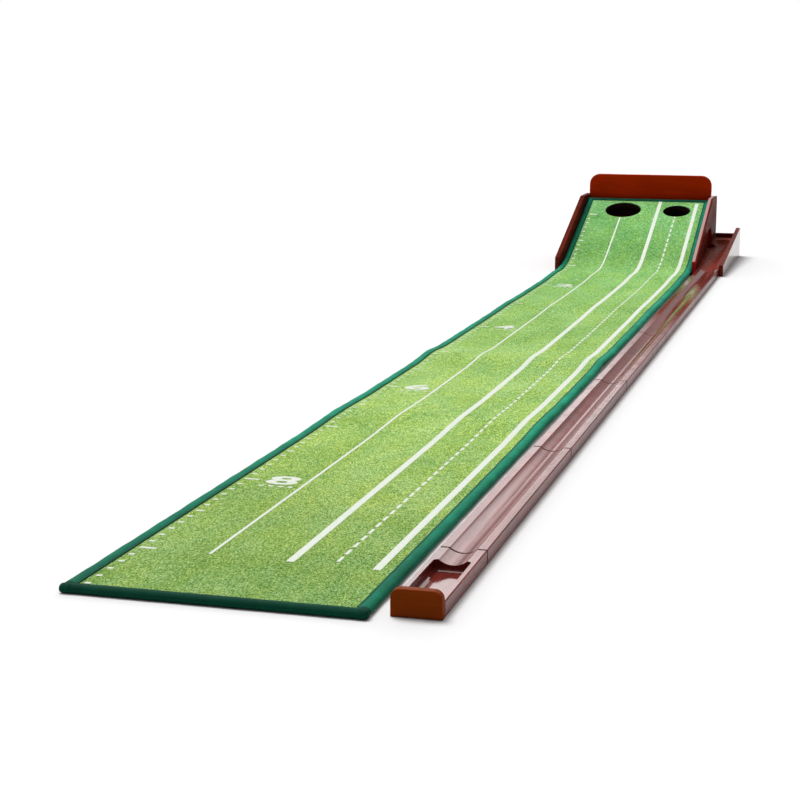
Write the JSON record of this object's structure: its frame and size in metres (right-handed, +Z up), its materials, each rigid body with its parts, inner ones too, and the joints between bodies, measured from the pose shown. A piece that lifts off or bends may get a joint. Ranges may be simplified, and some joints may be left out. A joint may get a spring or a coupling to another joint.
{
  "type": "practice putting mat",
  "caption": "Long turf putting mat rising to a wooden ramp base with two holes, a removable backboard and a grooved wooden ball return track beside it.",
  "frame": {"origin": "centre of the whole footprint, on the floor", "axes": "+Y from the player's end to the holes, +X to the ball track side, +Z up"},
  "size_m": [0.3858, 3.015, 0.198],
  "materials": {
    "panel_wood": "dark red stained hardwood, glossy lacquer",
    "board_wood": "red-brown stained board, high gloss lacquer",
    "track_wood": "mahogany stained, glossy lacquer",
    "cap_wood": "brown stained end grain, satin lacquer",
    "inside_wood": "thin dark stain without lacquer, inside the base",
    "dowel_wood": "bare beech",
    "turf": "short printed green pile on a rubber backing",
    "binding": "folded dark green woven binding tape",
    "brass": "small brushed brass buffer"
  },
  "bodies": {
    "base": {"panel_left": "panel_wood", "panel_right": "panel_wood", "ramp_deck": "inside_wood", "deck_cleat_front": "inside_wood", "deck_cleat_back": "inside_wood", "lane_rail": "inside_wood", "ball_lane": "inside_wood", "board_rest": "inside_wood", "back_rail": "panel_wood", "tray_block": "panel_wood", "tray_wall": "panel_wood", "wing": "panel_wood", "brass_cup": "brass", "dowel_5_left": "dowel_wood", "dowel_5_right": "dowel_wood", "turf_runner": "turf", "turf_ramp": "turf", "binding_front": "binding", "binding_top": "binding", "binding_left": "binding", "binding_right": "binding"},
    "board": {"backboard": "board_wood"},
    "track_5": {"track_section_5": "track_wood", "dowel_4_left": "dowel_wood", "dowel_4_right": "dowel_wood"},
    "track_4": {"track_section_4": "track_wood", "dowel_3_left": "dowel_wood", "dowel_3_right": "dowel_wood"},
    "track_3": {"track_section_3": "track_wood", "dowel_2_left": "dowel_wood", "dowel_2_right": "dowel_wood"},
    "track_2": {"track_section_2": "track_wood", "dowel_1_left": "dowel_wood", "dowel_1_right": "dowel_wood"},
    "track_1": {"track_section_1": "track_wood", "dowel_0_left": "dowel_wood", "dowel_0_right": "dowel_wood"},
    "ball_end": {"ball_tray": "track_wood", "end_cap": "cap_wood"}
  },
  "joints": [
    {"name": "backboard_lift", "type": "slide", "parent": "base", "child": "board", "axis": [0, 0, 1], "range_m": [0, 0.1]},
    {"name": "track_5_pull", "type": "slide", "parent": "base", "child": "track_5", "axis": [0, -1, 0], "range_m": [0, 0.011]},
    {"name": "track_4_pull", "type": "slide", "parent": "track_5", "child": "track_4", "axis": [0, -1, 0], "range_m": [0, 0.011]},
    {"name": "track_3_pull", "type": "slide", "parent": "track_4", "child": "track_3", "axis": [0, -1, 0], "range_m": [0, 0.011]},
    {"name": "track_2_pull", "type": "slide", "parent": "track_3", "child": "track_2", "axis": [0, -1, 0], "range_m": [0, 0.011]},
    {"name": "track_1_pull", "type": "slide", "parent": "track_2", "child": "track_1", "axis": [0, -1, 0], "range_m": [0, 0.011]},
    {"name": "ball_end_pull", "type": "slide", "parent": "track_1", "child": "ball_end", "axis": [0, -1, 0], "range_m": [0, 0.011]}
  ]
}
